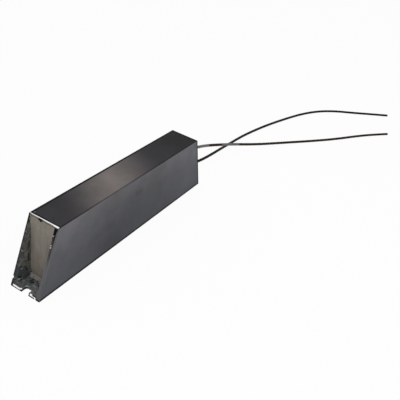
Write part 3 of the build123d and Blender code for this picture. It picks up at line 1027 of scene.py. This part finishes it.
def slot_colour(shade, colour, grain, sides, on_cut):
    """Walls of the screw slots: dull, with painted shade on the left and a painted highlight along the rim
    at the top.
    """
    y, z = shade.y, shade.z
    within = shade.both(
        shade.above(shade.sum("ABSOLUTE", shade.x), LENGTH_MM - 5.7, 0.03),
        shade.below(sides, 3.56, 0.03),
        shade.below(z, FLOOR_WALL + 0.02, 0.02),
        shade.sum("SUBTRACT", 1.0, on_cut),
    )
    # Painted highlight along the top of the slot's left wall
    rim = shade.above(shade.sum("ADD", z, grain), FLOOR_WALL + 0.15, 0.15)
    rim = shade.both(rim, shade.above(y, 0.6, 0.5))
    # Painted shade on the slot's left wall
    wall = shade.mix(shade.above(y, 2.4, 0.4), (0.085, 0.090, 0.090), (0.010, 0.011, 0.011))
    return shade.mix(within, colour, shade.mix(rim, wall, (0.42, 0.45, 0.45)))


class SHUNT_OT_housing(bpy.types.Operator):
    """Give the housing its anodised and sawn finish"""

    bl_idname = "shunt.housing"
    bl_label = "Housing"

    def execute(self, context):
        dress(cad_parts["housing"], anodised_material())
        return {"FINISHED"}


def plug_blank(finish, low, high, side):
    """A block whose face slopes back near its top, cut out for the rails at its foot."""
    plug = start_block(low, high)
    edit(plug)
    bpy.ops.mesh.select_all(action="SELECT")
    bpy.ops.mesh.bisect(plane_co=(0, 0, high.z - finish.shoulder_drop), plane_no=(0, 0, 1))
    face_x = high.x if side > 0 else low.x

    def on_top_edge(vertex):
        return vertex.co.z > high.z - TINY and abs(vertex.co.x - face_x) < TINY

    if choose(plug, "VERT", on_top_edge) != 2:
        raise RuntimeError("the plug's top edge wasn't found")
    bpy.ops.transform.translate(value=(-side * finish.shoulder_depth, 0, 0))
    close_edit()
    notch = Vector((RAIL_NOTCH.x, 2 * RAIL_NOTCH.y, RAIL_NOTCH.z + NOTCH_SINK))
    for wall_y in (-HALF_WIDTH + SIDE_WALL * MM, HALF_WIDTH - SIDE_WALL * MM):
        corner = Vector((low.x - OVERLAP, wall_y - RAIL_NOTCH.y, FLOOR_WALL * MM - NOTCH_SINK))
        cut_away(plug, start_block(corner, corner + notch))
    for sheet_low, sheet_high in SHEET_BOXES:
        if sheet_low.y - SHEET_GAP.y < high.y and sheet_high.y + SHEET_GAP.y > low.y:
            corner = Vector((low.x - OVERLAP, sheet_low.y, sheet_low.z - OVERLAP)) - SHEET_GAP
            far_corner = Vector((high.x + OVERLAP, sheet_high.y, sheet_high.z)) + SHEET_GAP
            cut_away(plug, start_block(corner, far_corner))
    return plug


def chip_top(plug, finish):
    """Breaks a wedge out of the top edge."""
    top = PLUG_HIGH.z
    place, width, depth = finish.chip_place, finish.chip_width, finish.chip_depth
    low = (PLUG_LOW.x - 0.002, place - width / 2, top - depth)
    high = (PLUG_HIGH.x + 0.002, place + width / 2, top + 0.001)
    wedge = start_block(low, high)
    edit(wedge)
    choose(wedge, "VERT", lambda vertex: vertex.co.z < top)
    bpy.ops.transform.resize(value=(1, 0.08, 1), center_override=(0, place - width / 8, top))
    close_edit()
    cut_away(plug, wedge)


def lead_hole(plug, exit_place):
    cutter = start(
        bpy.ops.mesh.primitive_cylinder_add,
        vertices=32,
        radius=settings("shunt_leads").diameter / 2 + LEAD_CLEARANCE,
        depth=0.02,
        location=exit_place,
        rotation=TURNED_ALONG_X,
    )
    cut_away(plug, cutter)


def plug_material(finish):
    shade = Shader("Beige Cement")
    y, z = shade.y, shade.z
    speckle = shade.speckle(0.10, 1.3, 0.35)
    base = shade.times(finish.colour, shade.scaled(speckle["Mask"], 0.6, 0.70))
    # Painted shade on the plug's face near the left wall
    painted_shade_by_wall = shade.both(shade.above(y, 6.5, 5.0), shade.between(z, 24.0, 53.5, 10.0, 2.0), 0.40)
    base = shade.mix(painted_shade_by_wall, base, finish.stain_and_shade)
    foot = shade.both(shade.below(z, 9.0, 9.0), 0.30)
    base = shade.mix(foot, base, (0.175, 0.172, 0.120))
    smear = shade.both(shade.above(shade.drawn((1.0, 1.0, 0.12), 0.45), 0.56, 0.06), 0.18)
    base = shade.mix(smear, base, finish.stain_and_shade)
    base = shade.marked(shade.place, base, CHIP_WALL_SHADE)
    # Painted shadow: black along the plug's right edge, in the gap beside the right wall
    base = shade.mix(shade.below(y, PLUG_LOW.y / MM - 0.45, 0.1), base, BLACK)
    return shade.done(base, speckle["Grain"], 0.4, 0.00012, Roughness=0.85, Specular_IOR_Level=0.3)


class SHUNT_OT_end_plugs(bpy.types.Operator):
    """Add the two cast end plugs"""

    bl_idname = "shunt.end_plugs"
    bl_label = "End Plugs"

    def execute(self, context):
        finish = settings("shunt_plugs")
        beige = plug_material(finish)
        front = plug_blank(finish, PLUG_LOW - FRONT_EXTRA, PLUG_HIGH, -1)
        chip_top(front, finish)
        rear = plug_blank(finish, REAR_PLUG_LOW, REAR_PLUG_HIGH, 1)
        for route in (UPPER_ROUTE, LOWER_ROUTE):
            lead_hole(rear, route[0])
        layers = (("Cast Waves", 0.006, finish.roughness), ("Cast Grain", 0.0012, finish.roughness))
        for plug, node in ((front, "front_plug"), (rear, "rear_plug")):
            cast(plug, finish.grain, *layers, angle=60)
            take_over(plug, f"{node}_cast", beige, [node])
        return {"FINISHED"}


def make_bead():
    """A lumpy bead in the corner between the plug's foot and the floor."""
    bead = start_block(BEAD_LOW, BEAD_HIGH)

    def on_outer_edge(vertex):
        return vertex.co.z > BEAD_HIGH.z - TINY and vertex.co.x < BEAD_LOW.x + TINY

    edit(bead)
    choose(bead, "VERT", on_outer_edge)
    bpy.ops.transform.translate(value=((BEAD_HIGH.x - BEAD_LOW.x) * 0.8, 0, 0))
    close_edit()
    layers = (("Bead Lumps", 0.0035, 0.0011), ("Bead Grain", 0.0009, 0.0004))
    cast(bead, 0.00028, *layers, angle=70)
    return bead


def make_film(side, finish):
    """A thin ragged film with lumps, left on the floor between the plug and the slot."""
    plug_x = (REAR_PLUG_HIGH.x if side > 0 else PLUG_LOW.x) - side * 0.0002
    middle = (plug_x + side * FILM_LENGTH / 2, 0, FLOOR_WALL * MM + finish.film_height)
    grid = {"x_subdivisions": 50, "y_subdivisions": 64, "size": 1, "location": middle}
    film = start(bpy.ops.mesh.primitive_grid_add, (FILM_LENGTH, FILM_WIDTH, 1), **grid)
    edit(film)

    def bare(face):
        place = face.calc_center_median()
        from_end = HALF_LENGTH - abs(place.x)
        in_slot = from_end < SLOT_FREE_LENGTH and abs(place.y) < SLOT_FREE_WIDTH
        hole = noise.noise(place / 0.0026 + Vector((side * 3.0, finish.seed, 0))) > 0.30
        away = abs(place.x - plug_x) / FILM_LENGTH + 0.35 * noise.noise(place / 0.0035)
        return in_slot or from_end < END_FREE or hole or away > 0.90

    choose(film, "FACE", bare)
    bpy.ops.mesh.delete(type="FACE")
    choose(film, "FACE", lambda face: True)
    bpy.ops.mesh.extrude_region_move(
        TRANSFORM_OT_translate={"value": (0, 0, -finish.film_height - 0.0001)}
    )
    bpy.ops.mesh.select_all(action="SELECT")
    bpy.ops.mesh.normals_make_consistent(inside=False)
    close_edit()
    group = film.vertex_groups.new(name="Upper Side")
    group.add([v.index for v in film.data.vertices if v.co.z > FLOOR_WALL * MM], 1.0, "REPLACE")
    only_up = {"direction": "Z", "mid_level": 0.42, "vertex_group": group.name}
    roughen(film, "Film Lumps", 0.0022, finish.lump_height, **only_up)
    smooth(film, 60)
    return film


def make_crumbs(context, radius, seed):
    """Small lumps, each turned and stretched by chance, joined to one piece."""
    chance = random.Random(seed)
    first = start(bpy.ops.mesh.primitive_ico_sphere_add, subdivisions=3, radius=radius)
    roughen(first, "Crumb", radius, radius * 0.8)
    copies = []
    for place in CRUMB_PLACES:
        hold(first)
        bpy.ops.object.duplicate(linked=False)
        crumb = context.object
        crumb.location = Vector(place) * MM
        crumb.rotation_euler = [chance.uniform(0, math.tau) for _ in range(3)]
        crumb.scale = [chance.uniform(0.75, 1.35) for _ in range(3)]
        settle()
        copies.append(crumb)
    bpy.data.objects.remove(first)
    hold(copies[0])
    for crumb in copies:
        crumb.select_set(True)
    bpy.ops.object.join()
    crumbs = context.object
    smooth(crumbs, 70)
    return crumbs


def make_collar(exit_place):
    """A rough ring of cement round a lead where it leaves the rear plug."""
    place = (REAR_PLUG_HIGH.x, exit_place[1], exit_place[2])
    collar = start(
        bpy.ops.mesh.primitive_torus_add,
        location=place,
        rotation=TURNED_ALONG_X,
        major_radius=settings("shunt_leads").diameter / 2 + 0.0006,
        minor_radius=0.0008,
        major_segments=64,
        minor_segments=20,
    )
    edit(collar)
    bpy.ops.mesh.select_all(action="SELECT")
    bpy.ops.transform.resize(value=(0.7, 1, 1), center_override=place)
    close_edit()
    roughen(collar, "Collar Lumps", 0.0016, 0.0006)
    smooth(collar, 70)
    return collar


def cement_material(name, colour, darkness):
    """Blotches of a colour and of its darker self."""
    shade = Shader(name)
    speckle = shade.speckle(0.35, 1.6, 0.45)
    blotch = shade.above(speckle["Mask"], 0.50, 0.12)
    base = shade.mix(blotch, [part * darkness for part in colour], colour)
    return shade.done(base, speckle["Grain"], 0.6, 0.0003, Roughness=0.9, Specular_IOR_Level=0.3)


def film_material():
    shade = Shader("Floor Cement")
    speckle = shade.speckle(0.45, 1.5, 0.4)
    ragged = shade.ragged(FLOOR_WALL, 0.25)
    base = shade.marked(ragged, shade.stained_floor(speckle), FLOOR_MARKS)
    return shade.done(base, speckle["Mask"], 0.8, 0.0005, Roughness=0.85, Specular_IOR_Level=0.3)


class SHUNT_OT_cement(bpy.types.Operator):
    """Add the cement that was squeezed out round the plugs"""

    bl_idname = "shunt.cement"
    bl_label = "Squeezed-Out Cement"

    def execute(self, context):
        finish = settings("shunt_cement")
        brown = cement_material("Brown Cement", finish.bead_colour, 0.55)
        film = film_material()
        pale = cement_material("Pale Cement", finish.pale_colour, 0.5)
        take_over(make_bead(), "front_bead_cast", brown, ["front_cement_bead"])
        for name, side in (("front_floor_film", -1), ("rear_floor_film", 1)):
            take_over(make_film(side, finish), name, film)
        crumbs = make_crumbs(context, finish.crumb_radius, finish.seed)
        take_over(crumbs, "gap_crumbs", pale)
        for name, route in (("upper_lead_collar", UPPER_ROUTE), ("lower_lead_collar", LOWER_ROUTE)):
            take_over(make_collar(route[0]), name, brown)
        return {"FINISHED"}


def mica_material():
    """Old insulating sheets: mottled like the walls, with drawn marks and dark sawn ends."""
    shade = Shader("Weathered Mica")
    stains = shade.speckle(*STAINS)
    ragged = shade.ragged(shade.z)
    aged = shade.aged(stains)
    face = shade.marked(ragged, aged, SHEET_MARKS)
    edge = shade.shared("Sawn Wall", Vector=shade.place, Aged=aged)[0]
    edge = shade.marked(ragged, edge, EDGE_MARKS)
    base = shade.mix(shade.on_cut(shade.reach()), face, edge)
    return shade.done(base, stains["Grain"], 0.4, 0.0001, Roughness=0.6, Specular_IOR_Level=0.2)


def drawn_finish(name, colour, roughness, metallic, stretch, relief):
    """A plain finish with drawn marks."""
    shade = Shader(name)
    marks = shade.drawn(stretch, 2.0)
    base = shade.times(colour, shade.scaled(marks, 0.5, 0.75))
    return shade.done(base, marks, 0.4, relief, Roughness=roughness, Metallic=metallic)


class SHUNT_OT_inner_parts(bpy.types.Operator):
    """Finish the pieces inside the body"""

    bl_idname = "shunt.inner_parts"
    bl_label = "Inner Parts"

    def execute(self, context):
        finish = settings("shunt_inside")
        along = (0.05, 1.0, 1.0)
        made = {
            "cement_fill": drawn_finish("Grey Cement", finish.cement, 0.9, 0.0, (1.0, 1.0, 1.0), 0.0004),
            "mica_sheet": mica_material(),
            "former": drawn_finish("Unglazed Ceramic", finish.ceramic, 0.75, 0.0, along, 0.00008),
            "winding": drawn_finish(
                "Resistance Ribbon", finish.ribbon, 0.35, 1.0, (1.0, 0.2, 0.2), 0.00004
            ),
            "band": drawn_finish("Nickel Strip", finish.strip, 0.30, 1.0, along, 0.00004),
            "lead_tail": drawn_finish("Tinned Copper", finish.copper, 0.30, 1.0, along, 0.00006),
        }
        made["series_link"] = made["crimp"] = made["band"]
        for name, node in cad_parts.items():
            for ending, material in made.items():
                if name.endswith(ending):
                    dress(node, material)
        return {"FINISHED"}


class SHUNT_PT_panel(bpy.types.Panel):
    """Lists the steps and their settings"""

    bl_idname = "SHUNT_PT_panel"
    bl_label = "Shunt Resistor"
    bl_space_type = "VIEW_3D"
    bl_region_type = "UI"
    bl_category = "Shunt Resistor"

    def draw(self, context):
        for step in STEPS:
            self.layout.operator(step.bl_idname)
        for name in SETTINGS:
            box = self.layout.box()
            box.label(text=SETTINGS[name].__doc__)
            holder = getattr(context.scene, name)
            for label in SETTINGS[name].__annotations__:
                box.prop(holder, label)


SETTINGS = {
    "shunt_stage": StageSettings,
    "shunt_leads": LeadFinish,
    "shunt_housing": HousingFinish,
    "shunt_plugs": PlugFinish,
    "shunt_cement": CementFinish,
    "shunt_inside": InnerFinish,
}
STEPS = (
    SHUNT_OT_stage,
    SHUNT_OT_leads,
    SHUNT_OT_housing,
    SHUNT_OT_end_plugs,
    SHUNT_OT_cement,
    SHUNT_OT_inner_parts,
)


def register():
    for name, kind in SETTINGS.items():
        bpy.utils.register_class(kind)
        setattr(bpy.types.Scene, name, PointerProperty(type=kind))
    for step in STEPS:
        bpy.utils.register_class(step)
    bpy.utils.register_class(SHUNT_PT_panel)


def unregister():
    bpy.utils.unregister_class(SHUNT_PT_panel)
    for step in reversed(STEPS):
        bpy.utils.unregister_class(step)
    for name, kind in SETTINGS.items():
        delattr(bpy.types.Scene, name)
        bpy.utils.unregister_class(kind)


def main():
    register()
    bpy.ops.shunt.stage()
    bpy.ops.shunt.leads()
    bpy.ops.shunt.housing()
    bpy.ops.shunt.end_plugs()
    bpy.ops.shunt.cement()
    bpy.ops.shunt.inner_parts()


if __name__ == "__main__":
    main()
